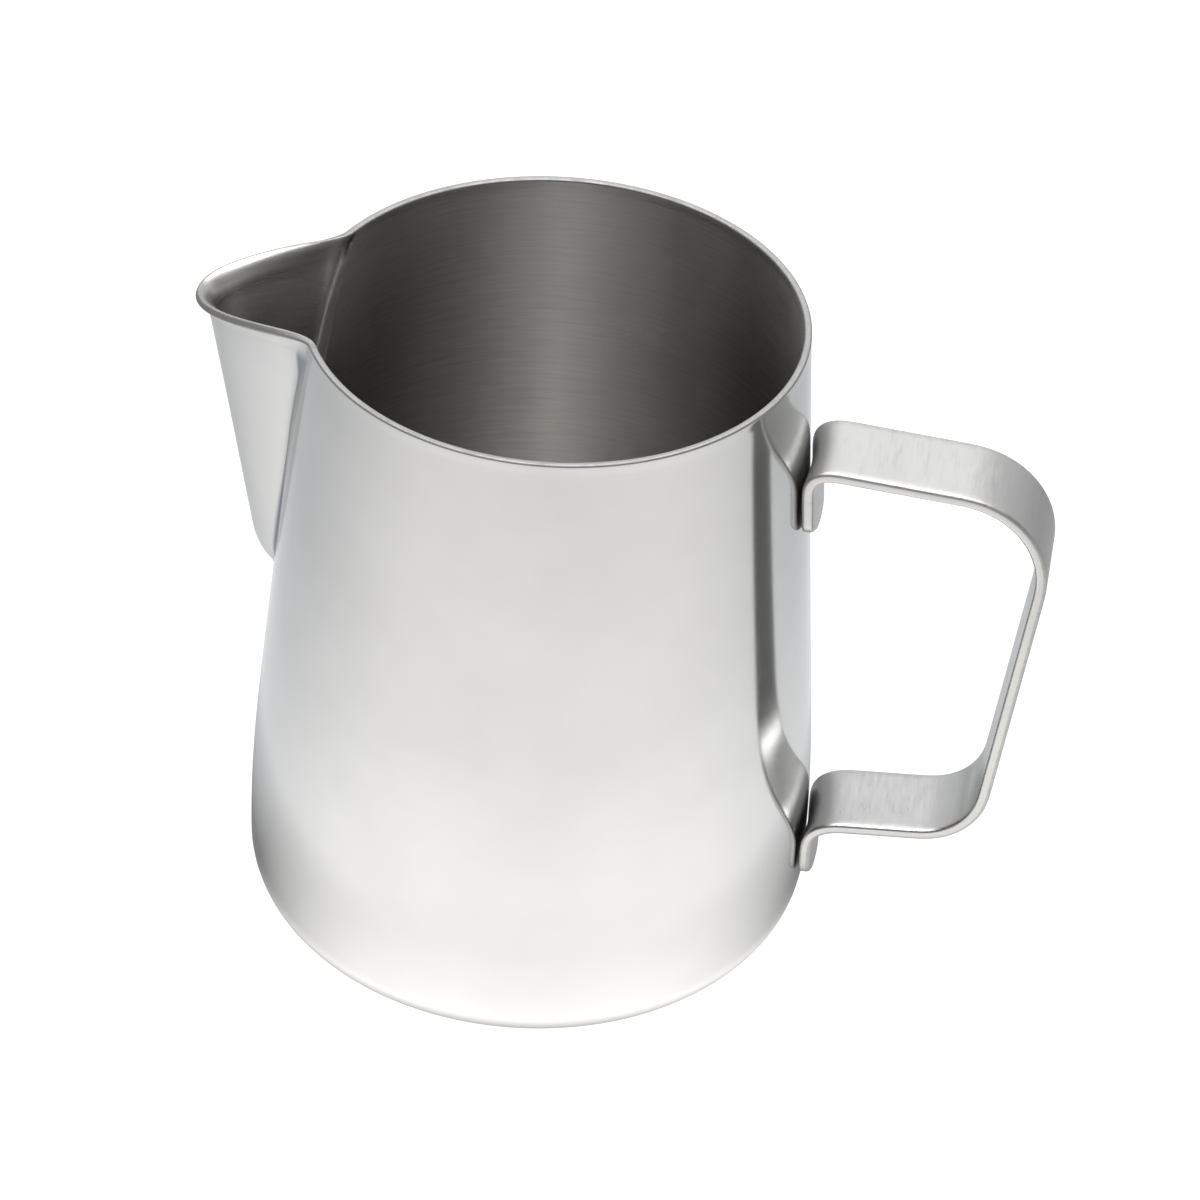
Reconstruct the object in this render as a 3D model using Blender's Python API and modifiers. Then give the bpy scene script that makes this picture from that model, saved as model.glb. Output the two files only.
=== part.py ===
"""Stainless steel milk frothing pitcher with a welded spout and a strap handle.

Metres, +Z up. The origin is the centre of the flat base, on the body's axis. The spout points to -X and
the handle to +X, so the XZ plane is the plane of symmetry.
"""
import math

import bmesh
import bpy
from mathutils import Vector

# Body shell
HEIGHT = 0.1130
RIM_RADIUS = 0.0398
BASE_CENTRE_RADIUS = 0.0357
BASE_CORNER_RADIUS = 0.0103
BELLY_HANDLE = (0.0465, 0.0340)
SHOULDER_HANDLE = (0.0439, 0.0460)
SHEET = 0.0009
BEAD_HEIGHT = 0.0022
BEAD_SWELL = 0.00006
BEAD_THICKNESS = 0.0012
BEAD_CORNER_RADIUS = 0.00045
TURN_STEPS = 80
CORNER_STEPS = 8
WALL_STEPS = 12
BEAD_STEPS = 4
TABLE_STEPS = 200
MERGE_DISTANCE = 0.00001

# Notch in the wall, and the joint around the spout
NOTCH_HALF_WIDTH = 0.0170
NOTCH_SLOPE = 0.220
NOTCH_CORNER_RADIUS = 0.0051
NOTCH_CORNER_STEPS = 10
NOTCH_CUT_RISE = 0.010
NOTCH_CUT_NEAR = -0.020
NOTCH_CUT_FAR = -0.070
JOINT_GAP = 0.0003
SEAM_WIDTH = 0.0008
SEAM_CROWN = 0.00005
SEAM_THICKNESS = 0.0010
SEAM_STEPS = 16

# Spout
SPOUT_REACH = 0.0549
SPOUT_RAKE = 0.187
SPOUT_REACH_HEIGHT = 0.1050
SPOUT_HEEL_HEIGHT = 0.0595
SPOUT_HEEL_RADIUS = 0.0062
NOSE_SHARPNESS_TOP = 92.0
NOSE_SHARPNESS_LOW = 200.0
NOSE_CHANGE_HEIGHT = 0.0280
CREASE_SOFTNESS = 0.0010
JOINT_FADE = 12
LIP_RADIUS = 0.0030
LIP_ANGLE = math.radians(74)
LIP_DROP = 0.0042
LIP_DROP_FADE = 1.4
LIP_FADE = 1.6
LIP_REST = 0.0003
LIP_STEPS = 6
SPOUT_ROWS = 20
SPOUT_ROW_SPREAD = 1.5
SPOUT_COLUMNS = 26

# Handle strap, as the path of its mid surface in the XZ plane
STRAP_WIDTH = 0.0152
STRAP_THICKNESS = 0.0019
STRAP_EDGE_RADIUS = 0.0006
TAB_GAP = 0.0003
TAB_CORNER_RADIUS = 0.0025
TAB_CORNER_STEPS = 5
TAB_HUG_FADE = 0.004
UPPER_TAB_END = 0.0820
LOWER_TAB_END = 0.0132
UPPER_BEND = (0.0944, 0.0028)
LOWER_BEND = (0.0238, 0.0044)
OUTER_TOP_CORNER = (0.0817, 0.0917, 0.0145)
OUTER_LOW_CORNER = (0.0737, 0.0259, 0.0105)
STRAP_COLUMNS = 8
STRAP_ROW_LENGTH = 0.004
BEND_STEPS = 7
EDGE_STEPS = 2

# Weld nuggets under the tabs
NUGGET_RADIUS = 0.0020
NUGGET_THICKNESS = 0.0006
NUGGET_SPREAD = 0.0036
UPPER_NUGGET_HEIGHT = 0.0865
LOWER_NUGGET_HEIGHT = 0.0175
NUGGET_SIDES = 24

# Shading
POLISHED_STEEL = (0.56, 0.56, 0.55, 1.0)
WELD_STEEL = (0.48, 0.48, 0.47, 1.0)
BODY_ROUGHNESS = 0.14
SPOUT_ROUGHNESS = 0.17
SEAM_ROUGHNESS = 0.37
STRAP_ROUGHNESS = 0.34
NUGGET_ROUGHNESS = 0.5
SMOOTH_ANGLE = math.radians(35)
BEVEL_ANGLE = math.radians(50)


def clear_scene():
    for item in list(bpy.data.objects):
        bpy.data.objects.remove(item, do_unlink=True)


def new_collection(name):
    collection = bpy.data.collections.new(name)
    bpy.context.scene.collection.children.link(collection)
    return collection


def steel(name, colour, roughness):
    material = bpy.data.materials.new(name)
    material.use_nodes = True
    shader = material.node_tree.nodes["Principled BSDF"]
    shader.inputs["Base Color"].default_value = colour
    shader.inputs["Metallic"].default_value = 1.0
    shader.inputs["Roughness"].default_value = roughness
    return material


def add_object(name, mesh, collection, material=None):
    item = bpy.data.objects.new(name, mesh)
    collection.objects.link(item)
    if material:
        mesh.materials.append(material)
    return item


def shade(mesh):
    mesh.shade_smooth()
    mesh.set_sharp_from_angle(angle=SMOOTH_ANGLE)


def make_cutter(item):
    item.hide_render = True
    item.display_type = "WIRE"


def cut(item, cutter):
    boolean = item.modifiers.new("cut " + cutter.name, "BOOLEAN")
    boolean.operation = "DIFFERENCE"
    boolean.solver = "EXACT"
    boolean.object = cutter


def bezier(start, start_handle, end_handle, end, t):
    """Point at t on a cubic curve, for points of any number of coordinates."""
    s = 1.0 - t
    weights = (s ** 3, 3 * s * s * t, 3 * s * t * t, t ** 3)
    points = (start, start_handle, end_handle, end)
    return tuple(sum(w * p[axis] for w, p in zip(weights, points)) for axis in range(len(start)))


def wall_curve(steps):
    """Outer wall from the top of the base corner up to the rim, as (radius, height)."""
    start = (BASE_CENTRE_RADIUS + BASE_CORNER_RADIUS, BASE_CORNER_RADIUS)
    end = (RIM_RADIUS, HEIGHT)
    return [bezier(start, BELLY_HANDLE, SHOULDER_HANDLE, end, step / steps) for step in range(steps + 1)]


WALL_TABLE = wall_curve(TABLE_STEPS)


def body_radius(height):
    """Outer radius of the body at a height."""
    if height <= BASE_CORNER_RADIUS:
        lift = BASE_CORNER_RADIUS - max(height, 0.0)
        return BASE_CENTRE_RADIUS + math.sqrt(BASE_CORNER_RADIUS ** 2 - lift ** 2)
    for (low_r, low_z), (high_r, high_z) in zip(WALL_TABLE, WALL_TABLE[1:]):
        if height <= high_z:
            return low_r + (high_r - low_r) * (height - low_z) / (high_z - low_z)
    return RIM_RADIUS


def body_depth(y, height):
    """Distance of the body's outer surface from the YZ plane, at a given y and height."""
    return math.sqrt(body_radius(height) ** 2 - y * y)


def body_profile():
    """Closed sheet section as (radius, height): up the inside, over the rim, down the outside."""
    corner = []
    for step in range(CORNER_STEPS):
        angle = 0.5 * math.pi * step / CORNER_STEPS
        corner.append((BASE_CENTRE_RADIUS + BASE_CORNER_RADIUS * math.sin(angle),
                       BASE_CORNER_RADIUS * (1 - math.cos(angle))))
    wall = [point for point in wall_curve(WALL_STEPS) if point[1] < HEIGHT - BEAD_HEIGHT]
    outer = corner + wall
    inner = []
    for index, (radius, height) in enumerate(outer):
        before = outer[max(index - 1, 0)]
        after = outer[min(index + 1, len(outer) - 1)]
        along = Vector((after[0] - before[0], after[1] - before[1])).normalized()
        if index == 0:
            along = Vector((1.0, 0.0))
        inner.append((radius - SHEET * along.y, height + SHEET * along.x))
    bead = []
    outer_centre = RIM_RADIUS + BEAD_SWELL - BEAD_CORNER_RADIUS
    inner_centre = RIM_RADIUS + BEAD_SWELL - BEAD_THICKNESS + BEAD_CORNER_RADIUS
    centre_z = HEIGHT - BEAD_CORNER_RADIUS
    for centre_r, start in ((inner_centre, math.pi), (outer_centre, 0.5 * math.pi)):
        for step in range(BEAD_STEPS + 1):
            angle = start - 0.5 * math.pi * step / BEAD_STEPS
            bead.append((centre_r + BEAD_CORNER_RADIUS * math.cos(angle),
                         centre_z + BEAD_CORNER_RADIUS * math.sin(angle)))
    return [(0.0, SHEET)] + inner + bead + outer[::-1] + [(0.0, 0.0)]


def make_body(parts, material):
    profile = body_profile()
    mesh = bpy.data.meshes.new("body_shell")
    edges = [(index, index + 1) for index in range(len(profile) - 1)]
    mesh.from_pydata([(radius, 0.0, height) for radius, height in profile], edges, [])
    body = add_object("body_shell", mesh, parts, material)
    screw = body.modifiers.new("turn", "SCREW")
    screw.steps = TURN_STEPS
    screw.render_steps = TURN_STEPS
    screw.use_merge_vertices = True
    screw.merge_threshold = MERGE_DISTANCE
    screw.use_smooth_shade = True
    return body


def notch_half_outline(offset):
    """Half of the notch outline grown by an offset, from the bottom up to the rim, as (y, height)."""
    lean = math.atan(NOTCH_SLOPE)
    tip = HEIGHT - NOTCH_HALF_WIDTH / NOTCH_SLOPE
    centre = tip + NOTCH_CORNER_RADIUS / math.sin(lean)
    radius = NOTCH_CORNER_RADIUS + offset
    outline = []
    for step in range(NOTCH_CORNER_STEPS + 1):
        angle = (0.5 * math.pi - lean) * step / NOTCH_CORNER_STEPS
        outline.append((radius * math.sin(angle), centre - radius * math.cos(angle)))
    last_y, last_z = outline[-1]
    outline.append((last_y + NOTCH_SLOPE * (HEIGHT - last_z), HEIGHT))
    return outline


def width_at(outline, height):
    """Half width of a notch outline at a height."""
    for (low_y, low_z), (high_y, high_z) in zip(outline, outline[1:]):
        if height <= high_z:
            return low_y + (high_y - low_y) * max(height - low_z, 0.0) / (high_z - low_z)
    return outline[-1][0]


def make_notch_cutter(cutters):
    """Prism with the notch's outline, through the wall on the spout side only."""
    outline = notch_half_outline(0.5 * SEAM_WIDTH + JOINT_GAP)
    top_y, top_z = outline[-1]
    outline.append((top_y + NOTCH_SLOPE * NOTCH_CUT_RISE, top_z + NOTCH_CUT_RISE))
    ring = [(y, z) for y, z in reversed(outline)] + [(-y, z) for y, z in outline[1:]]
    build = bmesh.new()
    face = build.faces.new([build.verts.new((NOTCH_CUT_NEAR, y, z)) for y, z in ring])
    moved = bmesh.ops.extrude_face_region(build, geom=[face])["geom"]
    bmesh.ops.translate(build, vec=(NOTCH_CUT_FAR - NOTCH_CUT_NEAR, 0, 0),
                        verts=[part for part in moved if isinstance(part, bmesh.types.BMVert)])
    bmesh.ops.recalc_face_normals(build, faces=build.faces)
    mesh = bpy.data.meshes.new("notch_cutter")
    build.to_mesh(mesh)
    build.free()
    cutter = add_object("notch_cutter", mesh, cutters)
    make_cutter(cutter)
    return cutter


def smooth_step(value):
    value = min(max(value, 0.0), 1.0)
    return value * value * (3 - 2 * value)


def spout_reach(height):
    """Distance of the spout's leading edge from the axis: a raked line with a rounded heel."""
    line = SPOUT_REACH - SPOUT_RAKE * (SPOUT_REACH_HEIGHT - height)
    rise = height - SPOUT_HEEL_HEIGHT
    if rise >= SPOUT_HEEL_RADIUS:
        return line
    heel = math.sqrt(max(SPOUT_HEEL_RADIUS ** 2 - (SPOUT_HEEL_RADIUS - rise) ** 2, 0.0)) if rise > 0 else 0.0
    full = SPOUT_REACH - SPOUT_RAKE * (SPOUT_REACH_HEIGHT - SPOUT_HEEL_HEIGHT)
    body = body_radius(SPOUT_HEEL_HEIGHT)
    return line - (full - body) * (1 - heel / SPOUT_HEEL_RADIUS)


def spout_bulge(y, height):
    """How far the spout's wall stands out from the body's surface line, with a soft crease."""
    change = smooth_step((HEIGHT - height) / NOSE_CHANGE_HEIGHT)
    sharpness = NOSE_SHARPNESS_TOP + (NOSE_SHARPNESS_LOW - NOSE_SHARPNESS_TOP) * change
    bare = spout_reach(height) - sharpness * y * y - body_depth(y, height)
    return 0.5 * (bare + math.hypot(bare, CREASE_SOFTNESS))


def spout_point(side, height, bulge_height, outline):
    """Point of the spout's outer surface, where side runs from -1 to 1 across it.

    The bulge is taken at bulge_height, so that the lip stands straight up from the top of the wall.
    """
    y = side * width_at(outline, height)
    bulge = spout_bulge(side * width_at(outline, bulge_height), bulge_height) * (1 - side ** JOINT_FADE)
    return Vector((-body_depth(y, height) - bulge, y, height))


def spout_rows(outline):
    """Rows of points up the spout's wall and out over its lip."""
    bottom = outline[0][1]
    sides = [2 * column / SPOUT_COLUMNS - 1 for column in range(SPOUT_COLUMNS + 1)]
    rest = HEIGHT - LIP_RADIUS * math.sin(LIP_ANGLE) - LIP_REST
    tops = [rest - LIP_DROP * (1 - side * side) ** LIP_DROP_FADE for side in sides]
    rows = []
    for row in range(1, SPOUT_ROWS + 1):
        share = (row / SPOUT_ROWS) ** SPOUT_ROW_SPREAD
        heights = [bottom + (top - bottom) * share for top in tops]
        rows.append([spout_point(side, height, height, outline) for side, height in zip(sides, heights)])
    wall_top = rows[-1]
    for step in range(1, LIP_STEPS + 1):
        angle = LIP_ANGLE * step / LIP_STEPS
        line = []
        for column, (side, top) in enumerate(zip(sides, tops)):
            before = wall_top[max(column - 1, 0)]
            after = wall_top[min(column + 1, SPOUT_COLUMNS)]
            across = after - before
            outward = Vector((-across.y, across.x, 0.0)).normalized()
            flare = LIP_RADIUS * (1 - math.cos(angle)) * (1 - side * side) ** LIP_FADE
            upright = spout_point(side, top + LIP_RADIUS * math.sin(angle), top, outline)
            line.append(upright + outward * flare)
        rows.append(line)
    return rows


def make_spout(parts, material):
    outline = notch_half_outline(-0.5 * SEAM_WIDTH - JOINT_GAP)
    bottom = outline[0][1]
    build = bmesh.new()
    rows = spout_rows(outline)
    heel = build.verts.new(spout_point(0.0, bottom, bottom, outline))
    grid = [[build.verts.new(point) for point in line] for line in rows]
    for column in range(SPOUT_COLUMNS):
        build.faces.new((heel, grid[0][column], grid[0][column + 1]))
    for low, high in zip(grid, grid[1:]):
        for column in range(SPOUT_COLUMNS):
            build.faces.new((low[column], high[column], high[column + 1], low[column + 1]))
    bmesh.ops.recalc_face_normals(build, faces=build.faces)
    middle = grid[SPOUT_ROWS // 2][SPOUT_COLUMNS // 2]
    middle.normal_update()
    if middle.normal.x > 0:
        bmesh.ops.reverse_faces(build, faces=build.faces)
    mesh = bpy.data.meshes.new("spout")
    build.to_mesh(mesh)
    build.free()
    spout = add_object("spout", mesh, parts, material)
    solid = spout.modifiers.new("sheet", "SOLIDIFY")
    solid.thickness = SHEET
    solid.offset = -1.0
    solid.use_even_offset = True
    shade(mesh)


def make_seam(parts, material):
    """Weld bead along the notch: a strip laid on the body's surface, with the sheet's thickness."""
    half = 0.5 * SEAM_WIDTH
    sides = [notch_half_outline(offset) for offset in (-half, 0.0, half)]
    build = bmesh.new()
    lines = []
    for index, outline in enumerate(sides):
        crown = SEAM_CROWN if index == 1 else 0.0
        straight_start, straight_end = outline[-2], outline[-1]
        points = outline[:-1]
        for step in range(1, SEAM_STEPS + 1):
            share = step / SEAM_STEPS
            points.append(tuple(a + (b - a) * share for a, b in zip(straight_start, straight_end)))
        ring = [(-y, z) for y, z in reversed(points)] + points[1:]
        lines.append([build.verts.new((-body_depth(y, z) - crown, y, z)) for y, z in ring])
    for inner, outer in zip(lines, lines[1:]):
        for index in range(len(inner) - 1):
            build.faces.new((inner[index], outer[index], outer[index + 1], inner[index + 1]))
    bmesh.ops.recalc_face_normals(build, faces=build.faces)
    bottom = lines[1][len(lines[1]) // 2]
    bottom.normal_update()
    if bottom.normal.x > 0:
        bmesh.ops.reverse_faces(build, faces=build.faces)
    mesh = bpy.data.meshes.new("spout_weld_seam")
    build.to_mesh(mesh)
    build.free()
    seam = add_object("spout_weld_seam", mesh, parts, material)
    solid = seam.modifiers.new("bead", "SOLIDIFY")
    solid.thickness = SEAM_THICKNESS
    solid.offset = -1.0
    solid.use_even_offset = True
    shade(mesh)


def tab_centre(height):
    """Distance of a tab's mid surface from the axis."""
    return body_radius(height) + TAB_GAP + 0.5 * STRAP_THICKNESS


def rounded_path(corners):
    """Path through (x, z, radius) corners, with each inner corner replaced by its arc."""
    path = [Vector(corners[0][:2])]
    for before, corner, after in zip(corners, corners[1:], corners[2:]):
        here = Vector(corner[:2])
        back = (Vector(before[:2]) - here).normalized()
        ahead = (Vector(after[:2]) - here).normalized()
        half = 0.5 * back.angle(ahead)
        trim = corner[2] / math.tan(half)
        centre = here + (back + ahead).normalized() * corner[2] / math.sin(half)
        start = here + back * trim - centre
        end = here + ahead * trim - centre
        turn = start.angle_signed(end)
        for step in range(BEND_STEPS + 1):
            angle = -turn * step / BEND_STEPS
            turned = Vector((start.x * math.cos(angle) - start.y * math.sin(angle),
                             start.x * math.sin(angle) + start.y * math.cos(angle)))
            path.append(centre + turned)
    path.append(Vector(corners[-1][:2]))
    return path


def split_path(path, longest):
    """Path with extra points, so that no stretch is longer than the given length."""
    result = [path[0]]
    for start, end in zip(path, path[1:]):
        pieces = max(1, math.ceil((end - start).length / longest))
        result += [start.lerp(end, piece / pieces) for piece in range(1, pieces + 1)]
    return result


def round_ends(path):
    """Path with close points near both ends, where the tab corners are rounded."""
    angles = [0.5 * math.pi * step / TAB_CORNER_STEPS for step in range(1, TAB_CORNER_STEPS + 1)]
    depths = [TAB_CORNER_RADIUS * (1 - math.cos(angle)) for angle in angles]
    first = [path[0] + (path[1] - path[0]).normalized() * depth for depth in depths]
    last = [path[-1] + (path[-2] - path[-1]).normalized() * depth for depth in depths]
    return path[:1] + first + path[1:-1] + last[::-1] + path[-1:]


def strap_path():
    upper_z, upper_radius = UPPER_BEND
    lower_z, lower_radius = LOWER_BEND
    corners = [
        (tab_centre(UPPER_TAB_END), UPPER_TAB_END, 0.0),
        (tab_centre(upper_z), upper_z, upper_radius),
        OUTER_TOP_CORNER,
        OUTER_LOW_CORNER,
        (tab_centre(lower_z), lower_z, lower_radius),
        (tab_centre(LOWER_TAB_END), LOWER_TAB_END, 0.0),
    ]
    return split_path(round_ends(rounded_path(corners)), STRAP_ROW_LENGTH)


def make_strap(parts, material):
    path = strap_path()
    lengths = [0.0]
    for start, end in zip(path, path[1:]):
        lengths.append(lengths[-1] + (end - start).length)
    build = bmesh.new()
    grid = []
    for point, run in zip(path, lengths):
        from_end = min(run, lengths[-1] - run)
        inset = 0.0
        if from_end < TAB_CORNER_RADIUS:
            short = TAB_CORNER_RADIUS - from_end
            inset = TAB_CORNER_RADIUS - math.sqrt(TAB_CORNER_RADIUS ** 2 - short ** 2)
        half_width = 0.5 * STRAP_WIDTH - inset
        stand_off = point.x - tab_centre(point.y)
        hug = 1 - smooth_step(stand_off / TAB_HUG_FADE)
        line = []
        for column in range(STRAP_COLUMNS + 1):
            y = half_width * (2 * column / STRAP_COLUMNS - 1)
            radius = tab_centre(point.y)
            wrap = radius - math.sqrt(radius ** 2 - y * y)
            line.append(build.verts.new((point.x - hug * wrap, y, point.y)))
        grid.append(line)
    for low, high in zip(grid, grid[1:]):
        for column in range(STRAP_COLUMNS):
            build.faces.new((low[column], high[column], high[column + 1], low[column + 1]))
    bmesh.ops.recalc_face_normals(build, faces=build.faces)
    mesh = bpy.data.meshes.new("handle_strap")
    build.to_mesh(mesh)
    build.free()
    strap = add_object("handle_strap", mesh, parts, material)
    solid = strap.modifiers.new("thickness", "SOLIDIFY")
    solid.thickness = STRAP_THICKNESS
    solid.offset = 0.0
    solid.use_even_offset = True
    bevel = strap.modifiers.new("soft edges", "BEVEL")
    bevel.width = STRAP_EDGE_RADIUS
    bevel.segments = EDGE_STEPS
    bevel.limit_method = "ANGLE"
    bevel.angle_limit = BEVEL_ANGLE
    shade(mesh)
    return strap


def disc(name, radius, depth, centre, angle, collection, material=None):
    """Short cylinder whose axis is horizontal, turned about Z by an angle from +X."""
    build = bmesh.new()
    bmesh.ops.create_cone(build, cap_ends=True, segments=NUGGET_SIDES, radius1=radius, radius2=radius,
                          depth=depth)
    mesh = bpy.data.meshes.new(name)
    build.to_mesh(mesh)
    build.free()
    item = add_object(name, mesh, collection, material)
    item.location = centre
    item.rotation_euler = (0.0, 0.5 * math.pi, angle)
    return item


def make_nuggets(parts, cutters, strap, material):
    """Round weld nuggets, each in a shallow pocket in the back of its tab."""
    for level, height in (("upper", UPPER_NUGGET_HEIGHT), ("lower", LOWER_NUGGET_HEIGHT)):
        for side, sign in (("left", -1), ("right", 1)):
            wall = body_radius(height)
            angle = sign * math.asin(NUGGET_SPREAD / wall)
            outward = Vector((math.cos(angle), math.sin(angle), 0.0))
            lift = Vector((0.0, 0.0, height))
            middle = wall + JOINT_GAP + 0.5 * NUGGET_THICKNESS
            name = level + "_weld_" + side
            disc(name, NUGGET_RADIUS, NUGGET_THICKNESS, outward * middle + lift, angle, parts, material)
            pocket_depth = 2 * (NUGGET_THICKNESS + JOINT_GAP)
            pocket = disc(name + "_pocket", NUGGET_RADIUS + JOINT_GAP, pocket_depth,
                          outward * (wall + JOINT_GAP) + lift, angle, cutters)
            make_cutter(pocket)
            cut(strap, pocket)


def main():
    clear_scene()
    parts = new_collection("milk_frothing_pitcher")
    cutters = new_collection("cutters")
    body = make_body(parts, steel("polished body steel", POLISHED_STEEL, BODY_ROUGHNESS))
    cut(body, make_notch_cutter(cutters))
    make_spout(parts, steel("polished spout steel", POLISHED_STEEL, SPOUT_ROUGHNESS))
    make_seam(parts, steel("dressed weld steel", WELD_STEEL, SEAM_ROUGHNESS))
    strap = make_strap(parts, steel("satin strap steel", POLISHED_STEEL, STRAP_ROUGHNESS))
    make_nuggets(parts, cutters, strap, steel("nugget steel", WELD_STEEL, NUGGET_ROUGHNESS))


main()
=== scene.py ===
"""Looks of a stainless steel milk frothing pitcher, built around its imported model.

Metres, +Z up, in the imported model's frame: the base stands on Z = 0 with the body's axis on the Z axis,
the spout points to -X and the handle to +X. The fine surfaces follow the same formulas as the solids.
"""

import math

import bmesh
import bpy
import numpy as np
from mathutils import Matrix, Vector


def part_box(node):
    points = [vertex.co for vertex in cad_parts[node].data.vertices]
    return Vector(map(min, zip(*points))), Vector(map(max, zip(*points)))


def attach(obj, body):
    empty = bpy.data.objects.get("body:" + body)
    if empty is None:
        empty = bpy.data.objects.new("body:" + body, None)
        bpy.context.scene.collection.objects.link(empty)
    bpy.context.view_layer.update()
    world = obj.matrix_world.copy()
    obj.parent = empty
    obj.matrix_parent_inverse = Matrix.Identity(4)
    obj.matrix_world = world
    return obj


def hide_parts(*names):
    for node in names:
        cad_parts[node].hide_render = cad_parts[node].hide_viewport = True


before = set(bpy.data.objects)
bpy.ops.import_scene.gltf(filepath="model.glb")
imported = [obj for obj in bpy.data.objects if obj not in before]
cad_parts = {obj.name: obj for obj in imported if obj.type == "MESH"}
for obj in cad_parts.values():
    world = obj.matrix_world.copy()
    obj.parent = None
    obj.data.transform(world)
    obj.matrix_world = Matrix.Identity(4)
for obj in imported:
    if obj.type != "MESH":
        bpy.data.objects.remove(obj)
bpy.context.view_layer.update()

# Body shell
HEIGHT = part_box("body_shell")[1].z
RIM_RADIUS = 0.0398
BASE_CENTRE_RADIUS = 0.0357
BASE_CORNER_RADIUS = 0.0103
BELLY_HANDLE = (0.0465, 0.0340)
SHOULDER_HANDLE = (0.0439, 0.0460)
SHEET = 0.0009
BEAD_HEIGHT = 0.0022
BEAD_SWELL = 0.00006
BEAD_THICKNESS = 0.0012
BEAD_CORNER_RADIUS = 0.00035
BEAD_STEPS = 7
BEAD_ROWS = 7
BODY_COLUMNS = 224
# How strongly the body's columns crowd away from the notch
COLUMN_CROWDING = 5
FLOOR_ROWS = 13
CORNER_ROWS = 14
BELLY_ROWS = 25
WALL_TABLE_STEPS = 400

# Notch in the wall, and the weld around the spout
NOTCH_HALF_WIDTH = 0.0170
NOTCH_SLOPE = 0.220
NOTCH_CORNER_RADIUS = 0.0051
NOTCH_ROWS = 64
# Limit of the notch's half width as a share of the body's radius
WIDEST_NOTCH = 0.9
# How strongly the notch's rows crowd towards its bottom
NOTCH_CROWDING = 1.7
WELD_WIDTH = 0.0010
WELD_SINK = 0.00003
WELD_OUTER_CROWN = 0.00003
WELD_INNER_CROWN = 0.00009
WELD_ROWS = 90
WELD_POINTS_ACROSS = 7
SLOPE_STEP = 1e-5

# Spout
SPOUT_REACH = 0.0549
SPOUT_RAKE = 0.187
SPOUT_REACH_HEIGHT = 0.1050
SPOUT_HEEL_HEIGHT = 0.0595
SPOUT_HEEL_RADIUS = 0.0062
NOSE_SHARPNESS_TOP = 92.0
NOSE_SHARPNESS_LOW = 200.0
NOSE_CHANGE_HEIGHT = 0.0280
CREASE_REACH_RIM = 0.0048
CREASE_REACH_LOW = 0.0007
CREASE_CHANGE_HEIGHT = 0.0130
LIP_RADIUS = 0.0030
LIP_ANGLE = math.radians(74)
LIP_DROP = 0.0042
LIP_FADE = 1.6
LIP_DROP_FADE = 1.4
SPOUT_COLUMNS = 96
SPOUT_WALL_ROWS = 64
SPOUT_CROWDING = 1.6
LIP_ROWS = 14
# Where, from the middle at 0 to the side at 1, the spout's normals turn to the body's, and over how far
JOINT_START = 0.93
JOINT_FADE = 0.06

# Handle strap, as the path of its mid surface in the XZ plane
STRAP_WIDTH = 0.0152
STRAP_THICKNESS = 0.0019
STRAP_EDGE_RADIUS = 0.0006
TAB_GAP = 0.0003
TAB_CORNER_RADIUS = 0.0025
# Stand-off from the body over which the strap goes from hugging it to flat
TAB_HUG_FADE = 0.004
UPPER_TAB_END = 0.0820
LOWER_TAB_END = 0.0132
UPPER_BEND = (0.0944, 0.0028)
LOWER_BEND = (0.0238, 0.0044)
OUTER_TOP_CORNER = (0.0817, 0.0917, 0.0145)
OUTER_LOW_CORNER = (0.0737, 0.0259, 0.0105)
STRAP_ARC_STEPS = 24
STRAP_ROW_LENGTH = 0.0007
STRAP_SOFTENINGS = 6
STRAP_CORNER_STEPS = 5
STRAP_FLAT_STEPS = 13

MERGE_DISTANCE = 1e-7
SMALLEST_GAP = 1e-6
SHARP_ANGLE = math.radians(40)

# Camera, looking down on the pitcher from the front
CAMERA_DISTANCE = 0.9704
CAMERA_ELEVATION = math.radians(37.168)
CAMERA_AZIMUTH = math.radians(6.3)
CAMERA_ROLL = math.radians(3.696)
CAMERA_LENS = 180.18
CAMERA_SENSOR = 36.0
CAMERA_NEAR = 0.05
CAMERA_FAR = 20.0
AIM_RIGHT = 0.0095
AIM_HEIGHT = 0.0580


# ---------------------------------------------------------------- shapes

def unit(vectors):
    return vectors / np.linalg.norm(vectors, axis=-1, keepdims=True)


def smooth_step(value):
    value = np.clip(value, 0.0, 1.0)
    return value * value * (3 - 2 * value)


def wall_curve(steps):
    """Outer wall from the top of the base corner up to the rim, as rows of (radius, height)."""
    t = np.linspace(0.0, 1.0, steps + 1)[:, None]
    start = np.array((BASE_CENTRE_RADIUS + BASE_CORNER_RADIUS, BASE_CORNER_RADIUS))
    end = np.array((RIM_RADIUS, HEIGHT))
    belly, shoulder = np.array(BELLY_HANDLE), np.array(SHOULDER_HANDLE)
    s = 1 - t
    return s ** 3 * start + 3 * s * s * t * belly + 3 * s * t * t * shoulder + t ** 3 * end


WALL_TABLE = wall_curve(WALL_TABLE_STEPS)


def body_radius(height):
    """Outer radius of the body at each height."""
    height = np.asarray(height, float)
    lift = BASE_CORNER_RADIUS - np.clip(height, 0.0, BASE_CORNER_RADIUS)
    corner = BASE_CENTRE_RADIUS + np.sqrt(BASE_CORNER_RADIUS ** 2 - lift ** 2)
    wall = np.interp(height, WALL_TABLE[:, 1], WALL_TABLE[:, 0])
    return np.where(height <= BASE_CORNER_RADIUS, corner, wall)


def body_depth(y, height):
    """Distance of the body's outer surface from the YZ plane, at each y and height."""
    return np.sqrt(body_radius(height) ** 2 - y * y)


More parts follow.
